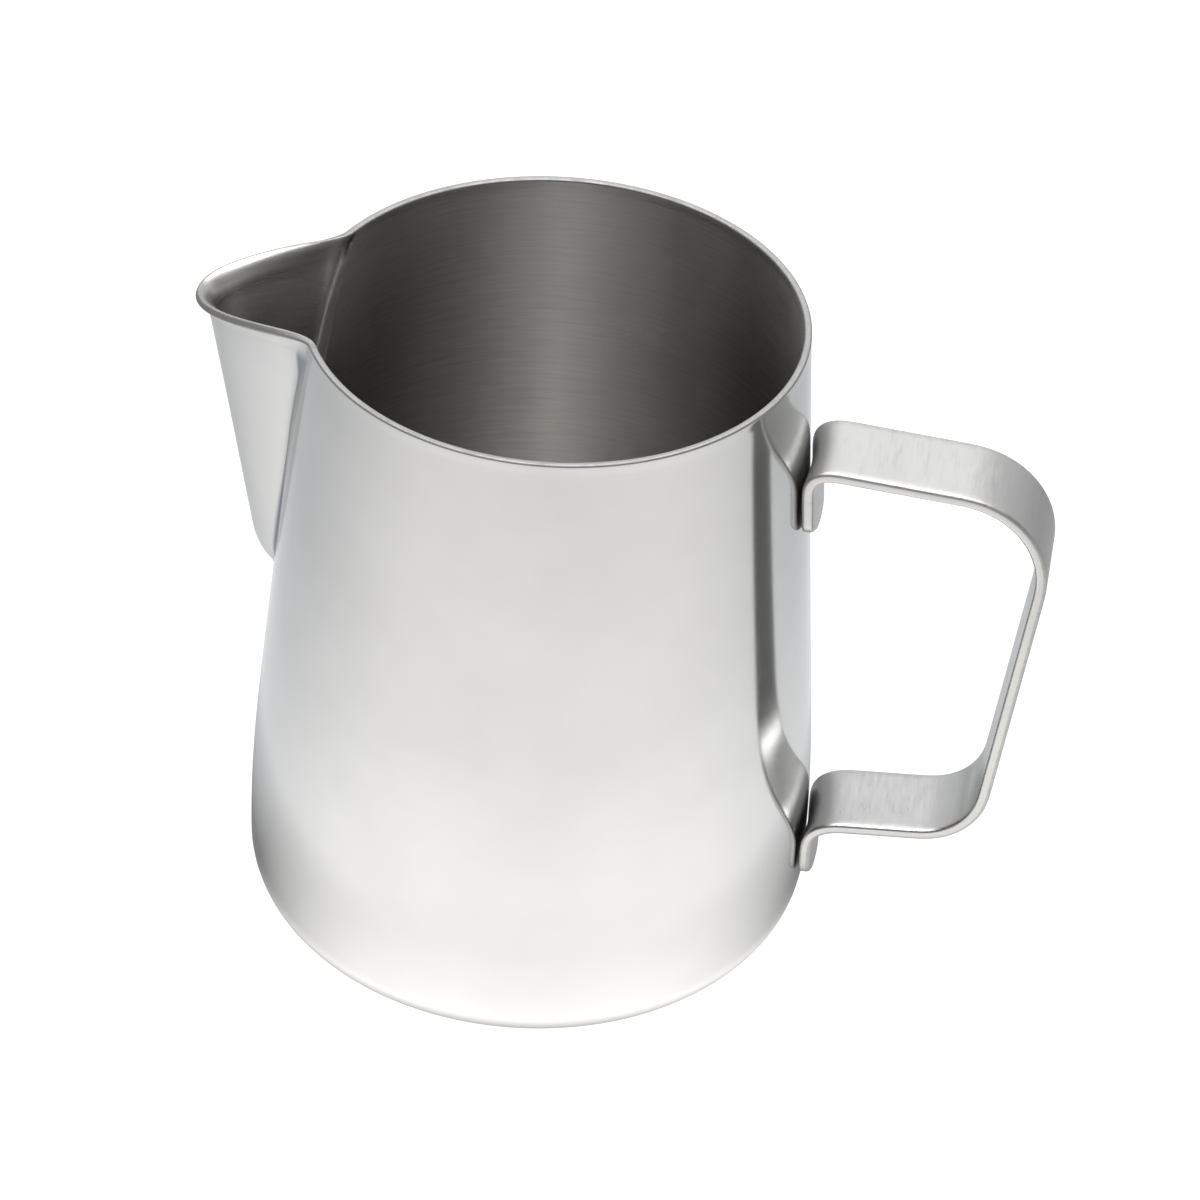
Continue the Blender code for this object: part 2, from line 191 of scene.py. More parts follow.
NOTCH_LEAN = math.atan(NOTCH_SLOPE)
NOTCH_CENTRE = HEIGHT - NOTCH_HALF_WIDTH / NOTCH_SLOPE + NOTCH_CORNER_RADIUS / math.sin(NOTCH_LEAN)
NOTCH_BOTTOM = NOTCH_CENTRE - NOTCH_CORNER_RADIUS


def notch_width(height):
    """Half width of the notch at each height: a round bottom between straight sides."""
    height = np.asarray(height, float)
    radius = NOTCH_CORNER_RADIUS
    tangent_height = NOTCH_CENTRE - radius * math.sin(NOTCH_LEAN)
    tangent_width = radius * math.cos(NOTCH_LEAN)
    drop = np.clip(NOTCH_CENTRE - height, -radius, radius)
    arc = np.sqrt(radius ** 2 - drop ** 2)
    straight = tangent_width + NOTCH_SLOPE * (height - tangent_height)
    width = np.where(height < tangent_height, arc, straight)
    return np.where(height <= NOTCH_CENTRE - radius, 0.0, width)


def notch_heights(rows):
    """Heights from the notch's bottom to the rim's bead, close together where the outline is round."""
    top = HEIGHT - BEAD_HEIGHT
    share = np.linspace(0.0, 1.0, rows + 1) ** NOTCH_CROWDING
    return NOTCH_BOTTOM + (top - NOTCH_BOTTOM) * share


def grid_normals(points):
    """Outward unit normals of a grid of surface points, whose rows run up and columns run across."""
    up = np.gradient(points, axis=0)
    across = np.gradient(points, axis=1)
    return unit(np.cross(across, up))


def bead_thickness(from_corner):
    """Sheet thickness and outward swell at a distance below the start of the edge's rounding."""
    near_edge = 1 - smooth_step(from_corner / (BEAD_HEIGHT - BEAD_CORNER_RADIUS))
    return SHEET + (BEAD_THICKNESS - SHEET) * near_edge, BEAD_SWELL * near_edge


def thick_grid(surface, normals, thickness, swell):
    """Section rows round a sheet: up its outside, over a flat edge with round corners, down its inside."""
    outer = surface + normals * swell[..., None]
    inner = outer - normals * thickness[..., None]
    rise = unit(surface[-1] - surface[-2])
    out = normals[-1]
    outer_centre = outer[-1] - out * BEAD_CORNER_RADIUS
    inner_centre = inner[-1] + out * BEAD_CORNER_RADIUS
    edge = []
    for centre, first in ((outer_centre, 1), (inner_centre, BEAD_STEPS)):
        for step in range(first, first + BEAD_STEPS):
            angle = 0.5 * math.pi * step / BEAD_STEPS
            edge.append(centre + BEAD_CORNER_RADIUS * (math.cos(angle) * out + math.sin(angle) * rise))
    return np.concatenate([outer, np.array(edge), inner[::-1]])


def sheet_object(name, rows, materials, close_bottom):
    """Closed mesh from section rows.

    The outside takes the first material, the inside the second and the upper edge the third.
    """
    count, columns = rows.shape[0], rows.shape[1]
    outer_rows = count // 2 - BEAD_STEPS
    build = bmesh.new()
    grid = [[build.verts.new(point) for point in row] for row in rows]
    for low in range(count - 1):
        for column in range(columns - 1):
            face = build.faces.new((grid[low][column], grid[low][column + 1],
                                    grid[low + 1][column + 1], grid[low + 1][column]))
            if low >= count - outer_rows:
                face.material_index = 1
            elif low >= outer_rows - 1:
                face.material_index = 2
    for low in range(count // 2):
        mate = count - 1 - low
        gap = max(np.linalg.norm(row[0] - row[-1]) for row in rows[low:low + 2])
        if gap < SMALLEST_GAP or mate - 1 <= low + 1:
            continue
        build.faces.new((grid[low][0], grid[low + 1][0], grid[mate - 1][0], grid[mate][0]))
        build.faces.new((grid[low + 1][-1], grid[low][-1], grid[mate][-1], grid[mate - 1][-1]))
    if close_bottom:
        for column in range(columns - 1):
            build.faces.new((grid[0][column + 1], grid[0][column], grid[-1][column], grid[-1][column + 1]))
    bmesh.ops.remove_doubles(build, verts=build.verts, dist=MERGE_DISTANCE)
    bmesh.ops.dissolve_degenerate(build, edges=build.edges, dist=MERGE_DISTANCE)
    bmesh.ops.recalc_face_normals(build, faces=build.faces)
    return finish_mesh(name, build, materials)


def finish_mesh(name, build, materials):
    mesh = bpy.data.meshes.new(name)
    build.to_mesh(mesh)
    build.free()
    for material in materials:
        mesh.materials.append(material)
    mesh.shade_smooth()
    mesh.set_sharp_from_angle(angle=SHARP_ANGLE)
    item = bpy.data.objects.new(name, mesh)
    bpy.context.scene.collection.objects.link(item)
    return item


def make_body(outside, inside, edge):
    """Body shell: one turned surface whose columns part around the notch."""
    floor_radii = np.linspace(0.0, BASE_CENTRE_RADIUS, FLOOR_ROWS + 1)[:-1]
    corner_angle = np.linspace(0.0, 0.5 * math.pi, CORNER_ROWS + 1)[:-1]
    corner_r = BASE_CENTRE_RADIUS + BASE_CORNER_RADIUS * np.sin(corner_angle)
    corner_z = BASE_CORNER_RADIUS * (1 - np.cos(corner_angle))
    belly_z = np.linspace(BASE_CORNER_RADIUS, NOTCH_BOTTOM, BELLY_ROWS + 1)[:-1]
    upper_z = notch_heights(NOTCH_ROWS)
    bead_z = np.linspace(HEIGHT - BEAD_HEIGHT, HEIGHT - BEAD_CORNER_RADIUS, BEAD_ROWS + 1)[1:]
    wall_z = np.concatenate([belly_z, upper_z, bead_z])
    radius = np.concatenate([floor_radii, corner_r, body_radius(wall_z)])
    height = np.concatenate([np.zeros_like(floor_radii), corner_z, wall_z])
    run_r, run_z = np.gradient(radius), np.gradient(height)
    run_z[:len(floor_radii)] = 0.0
    length = np.hypot(run_r, run_z)
    normal_r, normal_z = run_z / length, -run_r / length
    thickness, swell = bead_thickness(HEIGHT - BEAD_CORNER_RADIUS - height)
    half_open = np.arcsin(np.clip(notch_width(height) / np.maximum(radius, SHEET), 0.0, WIDEST_NOTCH))
    share = np.linspace(-1.0, 1.0, BODY_COLUMNS + 1)
    angle = math.pi * share[None, :] - half_open[:, None] * share[None, :] ** COLUMN_CROWDING

    def turned(r, z):
        return np.stack([r[:, None] * np.cos(angle), r[:, None] * np.sin(angle),
                         np.repeat(z[:, None], angle.shape[1], axis=1)], axis=-1)

    surface = turned(radius, height)
    normals = turned(normal_r, normal_z)
    wide = np.ones_like(angle)
    rows = thick_grid(surface, normals, thickness[:, None] * wide, swell[:, None] * wide)
    rows[0, :, :2] = 0.0
    rows[-1, :, :2] = 0.0
    return sheet_object("body_shell_fine", rows, (outside, inside, edge), close_bottom=False)


def spout_reach(height):
    """Distance of the spout's leading edge from the axis: a raked line with a rounded heel."""
    line = SPOUT_REACH - SPOUT_RAKE * (SPOUT_REACH_HEIGHT - height)
    rise = np.clip(height - SPOUT_HEEL_HEIGHT, 0.0, SPOUT_HEEL_RADIUS)
    heel = np.sqrt(np.maximum(SPOUT_HEEL_RADIUS ** 2 - (SPOUT_HEEL_RADIUS - rise) ** 2, 0.0))
    full = SPOUT_REACH - SPOUT_RAKE * (SPOUT_REACH_HEIGHT - SPOUT_HEEL_HEIGHT)
    return line - (full - body_radius(SPOUT_HEEL_HEIGHT)) * (1 - heel / SPOUT_HEEL_RADIUS)


def spout_bulge(y, height):
    """How far the spout's wall stands out from the body, with a crease that is softer at the rim."""
    change = smooth_step((HEIGHT - height) / NOSE_CHANGE_HEIGHT)
    sharpness = NOSE_SHARPNESS_TOP + (NOSE_SHARPNESS_LOW - NOSE_SHARPNESS_TOP) * change
    bare = spout_reach(height) - sharpness * y * y - body_depth(y, height)
    change = smooth_step((HEIGHT - height) / CREASE_CHANGE_HEIGHT)
    reach = CREASE_REACH_RIM + (CREASE_REACH_LOW - CREASE_REACH_RIM) * change
    near = np.clip(1 - np.abs(bare) / reach, 0.0, 1.0)
    return np.maximum(bare, 0.0) + 0.25 * reach * near * near


def make_spout(outside, inside, edge):
    """Spout: a folded sheet in the notch, whose upper edge rolls outward into the pouring lip."""
    side = np.linspace(1.0, -1.0, SPOUT_COLUMNS + 1)
    lip_rise = LIP_RADIUS * math.sin(LIP_ANGLE)
    bead_rise = BEAD_CORNER_RADIUS * side ** 6
    top = HEIGHT - lip_rise - bead_rise - LIP_DROP * (1 - side * side) ** LIP_DROP_FADE
    share = np.linspace(0.0, 1.0, SPOUT_WALL_ROWS + 1)[:, None] ** SPOUT_CROWDING
    height = NOTCH_BOTTOM + (top[None, :] - NOTCH_BOTTOM) * share
    y = side[None, :] * notch_width(height)
    bulge = spout_bulge(y, height)
    wall = np.stack([-body_depth(y, height) - bulge, y, height], axis=-1)
    across = np.gradient(wall[-1], axis=0)
    outward = unit(np.stack([across[:, 1], -across[:, 0], np.zeros_like(side)], axis=-1))
    angle = LIP_ANGLE * np.arange(1, LIP_ROWS + 1)[:, None] / LIP_ROWS
    lip_height = height[-1] + LIP_RADIUS * np.sin(angle)
    lip_y = side * notch_width(lip_height)
    flare = LIP_RADIUS * (1 - np.cos(angle)) * (1 - side * side) ** LIP_FADE
    upright = np.stack([-body_depth(lip_y, lip_height) - bulge[-1], lip_y, lip_height], axis=-1)
    lip = upright + outward[None] * flare[..., None]
    surface = np.concatenate([wall, lip])
    normals = grid_normals(surface)
    # The lowest row is a single point with no direction of its own
    normals[0] = normals[2]
    radial = unit(surface * np.array((1.0, 1.0, 0.0)) + np.array((0.0, 0.0, 1e-4)))
    at_joint = smooth_step((np.abs(side) - JOINT_START) / JOINT_FADE)[None, :, None]
    normals = unit(normals * (1 - at_joint) + radial * at_joint)
    steps = np.linalg.norm(np.diff(surface, axis=0), axis=-1)
    from_edge = np.concatenate([np.cumsum(steps[::-1], axis=0)[::-1], np.zeros((1, len(side)))])
    thickness, swell = bead_thickness(from_edge)
    rows = thick_grid(surface, normals, thickness, swell)
    return sheet_object("spout_fine", rows, (outside, inside, edge), close_bottom=True)


def make_weld(outside, inside):
    """Dressed weld along the notch: nearly flush outside, a low bead inside."""
    heights = notch_heights(WELD_ROWS)
    across = np.linspace(-0.5, 0.5, WELD_POINTS_ACROSS)
    crown = 1 - (2 * across) ** 2
    points = []
    for height in heights:
        width = float(notch_width(height))
        above = float(notch_width(height + SLOPE_STEP))
        below = float(notch_width(max(height - SLOPE_STEP, heights[0])))
        slope = (above - below) / (2 * SLOPE_STEP)
        away = np.array((1.0, -slope)) / math.hypot(1.0, slope)
        if width <= 0.0:
            away = np.array((0.0, -1.0))
        points.append([(width + WELD_WIDTH * a * away[0], height + WELD_WIDTH * a * away[1]) for a in across])
    right = np.array(points)
    left = right[::-1] * np.array((-1.0, 1.0))
    line = np.concatenate([left, right[1:]])
    y, z = line[..., 0], line[..., 1]
    surface = np.stack([-body_depth(y, z), y, z], axis=-1)
    radial = unit(surface * np.array((1.0, 1.0, 0.0)))
    outer = surface + radial * (WELD_OUTER_CROWN * crown[None, :, None] - WELD_SINK)
    inner = surface - radial * (SHEET - WELD_SINK + WELD_INNER_CROWN * crown[None, :, None])
    build = bmesh.new()
    ring_rows = np.concatenate([outer, inner[:, ::-1]], axis=1)
    rings = [[build.verts.new(point) for point in row] for row in ring_rows]
    return bar_object("spout_weld_fine", build, rings, (outside, inside))


def bar_object(name, build, rings, materials):
    """Closed bar through rings of vertices. Each half of a ring takes one of the two materials."""
    around = len(rings[0])
    for low, high in zip(rings, rings[1:]):
        for index in range(around):
            after = (index + 1) % around
            face = build.faces.new((low[index], low[after], high[after], high[index]))
            face.material_index = int(index >= around // 2)
    build.faces.new(rings[0])
    build.faces.new(rings[-1][::-1])
    bmesh.ops.recalc_face_normals(build, faces=build.faces)
    return finish_mesh(name, build, materials)


def tab_centre(height):
    """Distance of a tab's mid surface from the axis."""
    return float(body_radius(height)) + TAB_GAP + 0.5 * STRAP_THICKNESS


def rounded_path(corners, arc_steps):
    """Path through (x, z, radius) corners, with each inner corner replaced by its arc."""
    path = [Vector(corners[0][:2])]
    for before, corner, after in zip(corners, corners[1:], corners[2:]):
        here = Vector(corner[:2])
        back = (Vector(before[:2]) - here).normalized()
        ahead = (Vector(after[:2]) - here).normalized()
        half = 0.5 * back.angle(ahead)
        trim = corner[2] / math.tan(half)
        centre = here + (back + ahead).normalized() * corner[2] / math.sin(half)
        start = here + back * trim - centre
        end = here + ahead * trim - centre
        turn = start.angle_signed(end)
        for step in range(arc_steps + 1):
            angle = -turn * step / arc_steps
            turned = Vector((start.x * math.cos(angle) - start.y * math.sin(angle),
                             start.x * math.sin(angle) + start.y * math.cos(angle)))
            path.append(centre + turned)
    path.append(Vector(corners[-1][:2]))
    return path


def even_path(path, spacing):
    """Path with points at an even spacing, softened a little so that no bend starts suddenly."""
    points = np.array([tuple(point) for point in path])
    run = np.concatenate([[0.0], np.cumsum(np.linalg.norm(np.diff(points, axis=0), axis=1))])
    at = np.linspace(0.0, run[-1], int(run[-1] / spacing) + 1)
    even = np.stack([np.interp(at, run, points[:, 0]), np.interp(at, run, points[:, 1])], axis=1)
    for _ in range(STRAP_SOFTENINGS):
        even[1:-1] = 0.25 * even[:-2] + 0.5 * even[1:-1] + 0.25 * even[2:]
    return even


def strap_path():
    upper_z, upper_radius = UPPER_BEND
    lower_z, lower_radius = LOWER_BEND
    corners = [
        (tab_centre(UPPER_TAB_END), UPPER_TAB_END, 0.0),
        (tab_centre(upper_z), upper_z, upper_radius),
        OUTER_TOP_CORNER,
        OUTER_LOW_CORNER,
        (tab_centre(lower_z), lower_z, lower_radius),
        (tab_centre(LOWER_TAB_END), LOWER_TAB_END, 0.0),
    ]
    return even_path(rounded_path(corners, STRAP_ARC_STEPS), STRAP_ROW_LENGTH)


def strap_section(half_width, half_thickness, radius):
    """Rounded rectangle as (across, out) points, counter-clockwise."""
    section = []
    for turn, (side, face) in enumerate(((1, 1), (-1, 1), (-1, -1), (1, -1))):
        centre = (side * (half_width - radius), face * (half_thickness - radius))
        for step in range(STRAP_CORNER_STEPS + 1):
            angle = 0.5 * math.pi * (turn + step / STRAP_CORNER_STEPS)
            section.append((centre[0] + radius * math.cos(angle), centre[1] + radius * math.sin(angle)))
        if turn in (0, 2):
            run = np.linspace(side, -side, STRAP_FLAT_STEPS + 1)[1:-1] * (half_width - radius)
            section += [(across, face * half_thickness) for across in run]
    return section


def make_strap(inner, outer):
    """Handle: one flat strip with eased edges, bent in four places, whose tabs hug the body.

    The inner material is on the side that faces the hand, which is also the tabs' outer side.
    """
    path = strap_path()
    ahead = unit(np.gradient(path, axis=0))
    run = np.concatenate([[0.0], np.cumsum(np.linalg.norm(np.diff(path, axis=0), axis=1))])
    build = bmesh.new()
    rings = []
    for (x, z), (along_x, along_z), at in zip(path, ahead, run):
        from_end = min(at, run[-1] - at)
        inset = 0.0
        if from_end < TAB_CORNER_RADIUS:
            short = TAB_CORNER_RADIUS - from_end
            inset = TAB_CORNER_RADIUS - math.sqrt(TAB_CORNER_RADIUS ** 2 - short ** 2)
        hug = 1 - float(smooth_step((x - tab_centre(z)) / TAB_HUG_FADE))
        radius = tab_centre(z)
        ring = []
        for across, out in strap_section(0.5 * STRAP_WIDTH - inset, 0.5 * STRAP_THICKNESS, STRAP_EDGE_RADIUS):
            wrap = radius - math.sqrt(radius ** 2 - across * across)
            ring.append(build.verts.new((x - hug * wrap + along_z * out, across, z - along_x * out)))
        rings.append(ring)
    return bar_object("handle_strap_fine", build, rings, (inner, outer))


# ---------------------------------------------------------------- materials

# Range that most of a noise's values fall in
NOISE_LOW = 0.3
NOISE_HIGH = 0.7


class Nodes:
    """Short ways to add and join shader nodes."""

    def __init__(self, tree):
        self.tree = tree

    def add(self, kind, **settings):
        node = self.tree.nodes.new(kind)
        for name, value in settings.items():
            if name in node.inputs:
                node.inputs[name].default_value = value
            else:
                setattr(node, name, value)
        return node

    def join(self, output, socket):
        self.tree.links.new(output, socket)

    def scaled(self, scale):
        """Object coordinates stretched by a scale along each axis."""
        place = self.add("ShaderNodeTexCoord")
        stretch = self.add("ShaderNodeMapping")
        stretch.inputs["Scale"].default_value = scale
        self.join(place.outputs["Object"], stretch.inputs["Vector"])
        return stretch.outputs["Vector"]

    def turned(self, scale):
        """As scaled, with height measured along the sheet, so that grain rings base and wall alike."""
        split = self.add("ShaderNodeSeparateXYZ")
        self.join(self.scaled((1.0, 1.0, 1.0)), split.inputs["Vector"])
        x, y, z = (split.outputs[axis] for axis in "XYZ")
        square = self.maths("ADD", self.maths("MULTIPLY", x, x), self.maths("MULTIPLY", y, y))
        run = self.maths("ADD", z, self.maths("SQRT", square, 0.0))
        joined = self.add("ShaderNodeCombineXYZ")
        for socket, value, factor in zip(joined.inputs, (x, y, run), scale):
            self.join(self.maths("MULTIPLY", value, factor), socket)
        return joined.outputs["Vector"]

    def noise(self, vector, detail, roughness):
        node = self.add("ShaderNodeTexNoise")
        node.inputs["Scale"].default_value = 1.0
        node.inputs["Detail"].default_value = detail
        node.inputs["Roughness"].default_value = roughness
        self.join(vector, node.inputs["Vector"])
        return node.outputs["Fac"]

    def maths(self, operation, first, second):
        """A Math node on two values, each a socket or a number."""
        node = self.add("ShaderNodeMath", operation=operation)
        for socket, value in zip(node.inputs, (first, second)):
            if isinstance(value, (int, float)):
                socket.default_value = value
            else:
                self.join(value, socket)
        return node.outputs["Value"]

    def spread(self, value, low, high, from_low=NOISE_LOW, from_high=NOISE_HIGH, kind="LINEAR"):
        """Value moved from one range to another, held at its ends."""
        node = self.add("ShaderNodeMapRange", interpolation_type=kind)
        node.inputs["From Min"].default_value = from_low
        node.inputs["From Max"].default_value = from_high
        node.inputs["To Min"].default_value = low
        node.inputs["To Max"].default_value = high
        self.join(value, node.inputs["Value"])
        return node.outputs["Result"]

    def blend_colour(self, factor, first, second):
        """A blend of two colours, each a socket or a value."""
        node = self.add("ShaderNodeMix", data_type="RGBA")
        sockets = [socket for socket in node.inputs if socket.type == "RGBA"]
        for socket, colour in zip(sockets, (first, second)):
            if isinstance(colour, tuple):
                socket.default_value = colour
            else:
                self.join(colour, socket)
        self.join(factor, node.inputs["Factor"])
        return next(socket for socket in node.outputs if socket.type == "RGBA")

    def bump(self, height, distance):
        node = self.add("ShaderNodeBump")
        node.inputs["Distance"].default_value = distance
        node.inputs["Strength"].default_value = 1.0
        self.join(height, node.inputs["Height"])
        return node.outputs["Normal"]


# Detail and roughness of the noises for the grain and for the soft patches
GRAIN_NOISE = (4.0, 0.6)
PATCH_NOISE = (2.0, 0.55)
PATCH_SIZE = 0.015
# How far grain and patches change the roughness, as factors
GRAIN_ROUGHNESS = (0.85, 1.2)
PATCH_ROUGHNESS = (0.93, 1.08)
# Turns the stretched reflections so that they run up the wall, across the grain
ACROSS_GRAIN = 0.25


def steel(name, light, dark, roughness, grain, grain_depth=0.0, anisotropy=0.0, streaks=0.0, line=None,
          turned=False):
    """Steel with fine grain, roughness that varies in soft patches, and a faint change of tone.

    grain is the grain's scale along each axis, in features per metre, and streaks its share in the tone.
    line is the colour and roughness of a line beside the spout's crease, and where it starts and stops:
    painted shade on the spout's outside, a ground strip on its inside.
    turned grain runs round the axis on the base too.
    """
    material = bpy.data.materials.new(name)
    material.use_nodes = True
    nodes = Nodes(material.node_tree)
    shader = material.node_tree.nodes["Principled BSDF"]
    shader.inputs["Metallic"].default_value = 1.0
    shader.inputs["Anisotropic"].default_value = anisotropy
    shader.inputs["Anisotropic Rotation"].default_value = ACROSS_GRAIN
    along = nodes.turned(grain) if turned else nodes.scaled(grain)
    fine = nodes.noise(along, *GRAIN_NOISE)
    soft = nodes.noise(nodes.scaled((1 / PATCH_SIZE,) * 3), *PATCH_NOISE)
    tone = nodes.maths("ADD", nodes.spread(soft, 0.0, 1.0 - streaks), nodes.spread(fine, 0.0, streaks))
    colour = nodes.blend_colour(tone, light, dark)
    if line:
        line_colour, line_roughness, starts, stops = line
        in_line = beside_crease(nodes, starts, stops)
        colour = nodes.blend_colour(in_line, colour, line_colour)
    nodes.join(colour, shader.inputs["Base Color"])
    rough = nodes.spread(fine, *(roughness * factor for factor in GRAIN_ROUGHNESS))
    rough_here = nodes.maths("MULTIPLY", rough, nodes.spread(soft, *PATCH_ROUGHNESS))
    if line:
        more = nodes.maths("MULTIPLY", in_line, line_roughness - roughness)
        rough_here = nodes.maths("ADD", rough_here, more)
    nodes.join(rough_here, shader.inputs["Roughness"])
    if grain_depth:
        nodes.join(nodes.bump(fine, grain_depth), shader.inputs["Normal"])
    if anisotropy:
        tangent = nodes.add("ShaderNodeTangent", direction_type="RADIAL", axis="Z")
        nodes.join(tangent.outputs["Tangent"], shader.inputs["Tangent"])
    return material


# Half width of the spout at its crease, at three heights from low to high
CREASE_HEIGHTS = (0.062, 0.092, 0.1125)
CREASE_WIDTHS = (0.0040, 0.0082, 0.0144)
# Heights over which a line along the crease fades in at its bottom and out at its top
LINE_BOTTOM = (0.0600, 0.0640)
LINE_TOP = (0.1080, 0.1110)


def beside_crease(nodes, starts, stops):
    """How far a point lies in a line along the spout's crease, from 0 to 1.

    starts and stops are how far sideways from the crease the line fades in and out again.
    """
    split = nodes.add("ShaderNodeSeparateXYZ")
    nodes.join(nodes.scaled((1.0, 1.0, 1.0)), split.inputs["Vector"])
    height = split.outputs["Z"]
    aside = nodes.maths("ABSOLUTE", split.outputs["Y"], 0.0)
    low = nodes.spread(height, *CREASE_WIDTHS[:2], *CREASE_HEIGHTS[:2])
    high = nodes.spread(height, 0.0, CREASE_WIDTHS[2] - CREASE_WIDTHS[1], *CREASE_HEIGHTS[1:])
    past = nodes.maths("SUBTRACT", nodes.maths("SUBTRACT", aside, low), high)
    start = nodes.spread(past, 0.0, 1.0, *starts, "SMOOTHSTEP")
    stop = nodes.spread(past, 1.0, 0.0, *stops, "SMOOTHSTEP")
    top = nodes.spread(height, 1.0, 0.0, *LINE_TOP, "SMOOTHSTEP")
    bottom = nodes.spread(height, 0.0, 1.0, *LINE_BOTTOM, "SMOOTHSTEP")
    ends = nodes.maths("MULTIPLY", top, bottom)
    return nodes.maths("MULTIPLY", nodes.maths("MULTIPLY", start, stop), ends)


LIGHT_STEEL = (0.515, 0.513, 0.507, 1.0)
DARK_STEEL = (0.490, 0.488, 0.482, 1.0)
INNER_STEEL = (0.47, 0.458, 0.443, 1.0)
INNER_DARK_STEEL = (0.35, 0.341, 0.330, 1.0)
EDGE_STEEL = (0.26, 0.259, 0.256, 1.0)
# Blue-grey colour of the painted shade in the line along the spout's crease
CREASE_SHADE_STEEL = (0.165, 0.182, 0.210, 1.0)
STRAP_INNER_STEEL = (0.455, 0.453, 0.448, 1.0)
STRAP_INNER_DARK_STEEL = (0.435, 0.433, 0.428, 1.0)
STRAP_OUTER_STEEL = (0.38, 0.377, 0.371, 1.0)
# A line's colour and roughness, then the distances from the crease over which it fades in and out:
# on the outside painted shade along the crease, and on the inside a ground strip that reaches the joint and
# so never fades out
CREASE_SHADE_LINE = (CREASE_SHADE_STEEL, 0.24, (-0.0001, 0.0004), (-0.0005, 0.0062))
PAST_THE_JOINT = (0.1, 0.2)
GROUND_LINE = (LIGHT_STEEL, 0.50, (-0.0012, -0.0008), PAST_THE_JOINT)
# Grain's scale along each axis: round the body on the sheets, across the strap on the handle
OUTSIDE_GRAIN = (90, 90, 1600)
INSIDE_GRAIN = (110, 110, 2600)
SPOUT_GRAIN = (300, 300, 1200)
SPOUT_INSIDE_GRAIN = (130, 130, 2600)
EDGE_GRAIN = (600, 600, 1600)
WELD_GRAIN = (400, 400, 1800)
STRAP_GRAIN = (1500, 200, 1500)
NUGGET_GRAIN = (1500, 1500, 1500)


def make_materials():
    return {
        "outside": steel("polished outside", LIGHT_STEEL, DARK_STEEL, 0.12, OUTSIDE_GRAIN,
                         grain_depth=6e-7, anisotropy=0.6),
        "inside": steel("brushed inside", INNER_STEEL, INNER_DARK_STEEL, 0.37, INSIDE_GRAIN,
                        grain_depth=2e-6, anisotropy=1.0, streaks=0.8, turned=True),
        # The spout's outside carries painted shade in a line along its crease
        "spout outside": steel("polished spout", LIGHT_STEEL, DARK_STEEL, 0.17, SPOUT_GRAIN,
                               grain_depth=6e-7, line=CREASE_SHADE_LINE),
        "spout inside": steel("brushed spout inside", INNER_STEEL, INNER_DARK_STEEL, 0.32, SPOUT_INSIDE_GRAIN,
                              grain_depth=1e-6, anisotropy=0.6, streaks=0.8, line=GROUND_LINE),
        "edge": steel("ground edge", EDGE_STEEL, EDGE_STEEL, 0.60, EDGE_GRAIN),
        "weld": steel("dressed weld", LIGHT_STEEL, DARK_STEEL, 0.50, WELD_GRAIN,
                      grain_depth=2e-6, anisotropy=0.3, streaks=0.5),
        "strap inner": steel("satin strap, inner side", STRAP_INNER_STEEL, STRAP_INNER_DARK_STEEL, 0.30,
                             STRAP_GRAIN),
        "strap outer": steel("satin strap, outer side", STRAP_OUTER_STEEL, STRAP_OUTER_STEEL, 0.46,
                             STRAP_GRAIN),
        "nugget": steel("weld nugget", INNER_STEEL, INNER_DARK_STEEL, 0.5, NUGGET_GRAIN, grain_depth=2e-5),
    }


# ---------------------------------------------------------------- stage

FLOOR_HALF_SIZE = 4.0
FLOOR_HEIGHT = -0.0001
FLOOR_COLOUR = (0.04, 0.04, 0.04, 1.0)
FLOOR_FRONT_GLOW = (1.0, 0.990, 0.975, 1.0)
FLOOR_BACK_GLOW = (0.955, 0.975, 1.0, 1.0)
# Painted glow of the floor at distances from the axis, in metres: a painted shadow under the base, a painted
# pool of light brightest just beside it
FLOOR_POOL = ((0.0, 0.10), (0.0385, 0.20), (0.042, 0.9), (0.046, 2.0), (0.055, 1.96), (0.070, 1.70),
              (0.100, 1.70), (0.150, 1.44), (0.300, 1.13), (0.900, 0.70))
# Share of the glow lost round the pitcher towards its back: close to it, and farther out
FLOOR_LOSS_NEAR = 0.88
FLOOR_LOSS_FAR = 0.50
FLOOR_NEAR_TO_FAR = (0.052, 0.080)
# Sine of the bearing, -1 in front and 1 behind, where the far and then the near loss set in and are full
FLOOR_BEHIND = (-0.9, 0.8)
FLOOR_BESIDE = (-1.0, 0.1)
FLOOR_TURN = math.radians(10)
SMALLEST_DISTANCE = 0.001
# Glow that the camera sees straight on, bright enough to read as white paper
FLOOR_SHOWN = 1.15


